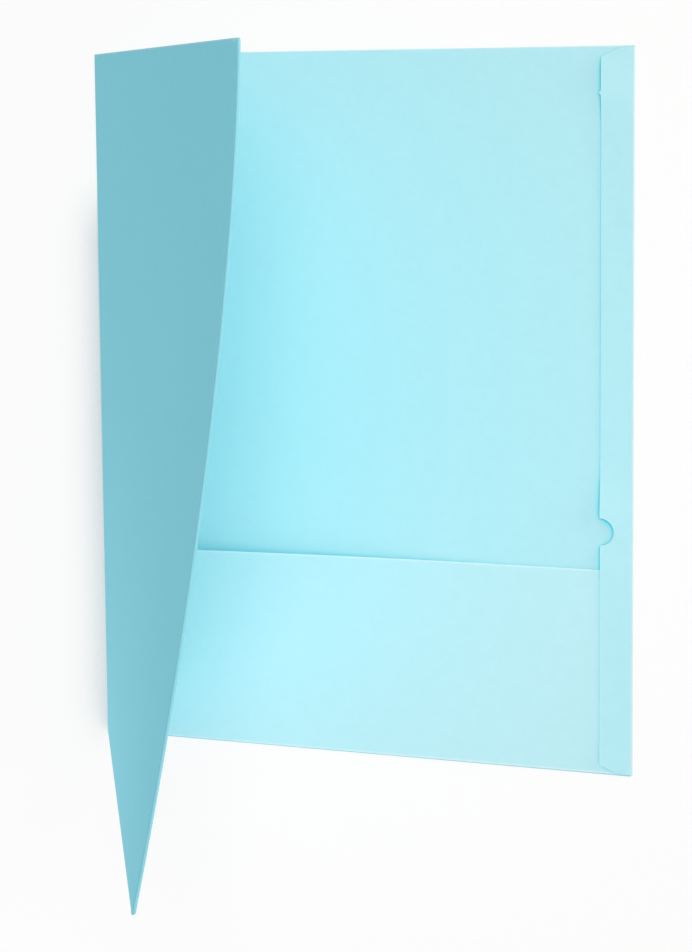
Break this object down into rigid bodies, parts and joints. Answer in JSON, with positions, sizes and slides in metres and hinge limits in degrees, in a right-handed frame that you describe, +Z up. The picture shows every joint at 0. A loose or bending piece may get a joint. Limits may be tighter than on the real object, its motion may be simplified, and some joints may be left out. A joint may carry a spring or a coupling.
{
  "type": "two pocket folder",
  "caption": "Pale blue card folder with hinged covers, a glued pocket along the bottom of each cover and folded-in outer edges, for loose sheets of paper.",
  "frame": {"origin": "centre of the underside of the back cover, the face the folder lies on", "axes": "+X from the spine to the outer edge of the back cover, +Y from the bottom fold to the top edge, +Z up"},
  "size_m": [0.2356, 0.2986, 0.2123],
  "materials": {
    "cover_card": "matte",
    "pocket_card": "matte",
    "flap_card": "matte",
    "glue": "satin"
  },
  "bodies": {
    "back": {"back_cover": "cover_card", "back_edge_fold": "flap_card", "back_edge_flap": "flap_card", "back_pocket_fold": "pocket_card", "back_pocket": "pocket_card", "back_pocket_glue": "glue"},
    "back_pocket_corner": {"back_pocket_corner": "pocket_card"},
    "spine": {"spine": "cover_card"},
    "front": {"front_cover": "cover_card", "front_edge_fold": "flap_card", "front_edge_flap": "flap_card", "front_pocket_fold": "pocket_card", "front_pocket": "pocket_card", "front_pocket_glue": "glue"},
    "front_pocket_corner": {"front_pocket_corner": "pocket_card"}
  },
  "joints": [
    {"name": "back_crease", "type": "hinge", "parent": "back", "child": "spine", "pos_m": [-0.1175, 0, 0.0002], "axis": [0, -1, 0], "range_deg": [-8.1, 81.9]},
    {"name": "front_crease", "type": "hinge", "parent": "spine", "child": "front", "pos_m": [-0.11789, 0, 0.00297], "axis": [0, -1, 0], "range_deg": [-45, 45]},
    {"name": "back_pocket_bend", "type": "hinge", "parent": "back", "child": "back_pocket_corner", "pos_m": [-0.1125, -0.1488, 0.0009], "axis": [0.9233, 0.384, 0], "range_deg": [-6.2, 6.2]},
    {"name": "front_pocket_bend", "type": "hinge", "parent": "front", "child": "front_pocket_corner", "pos_m": [-0.11501, -0.1488, 0.00711], "axis": [-0.4757, -0.384, -0.7913], "range_deg": [-3.2, 3.2]}
  ],
  "couplings": [
    {"joint": "back_pocket_bend", "follows": "front_crease", "ratio": 0.13777},
    {"joint": "front_pocket_bend", "follows": "front_crease", "ratio": 0.07111}
  ]
}
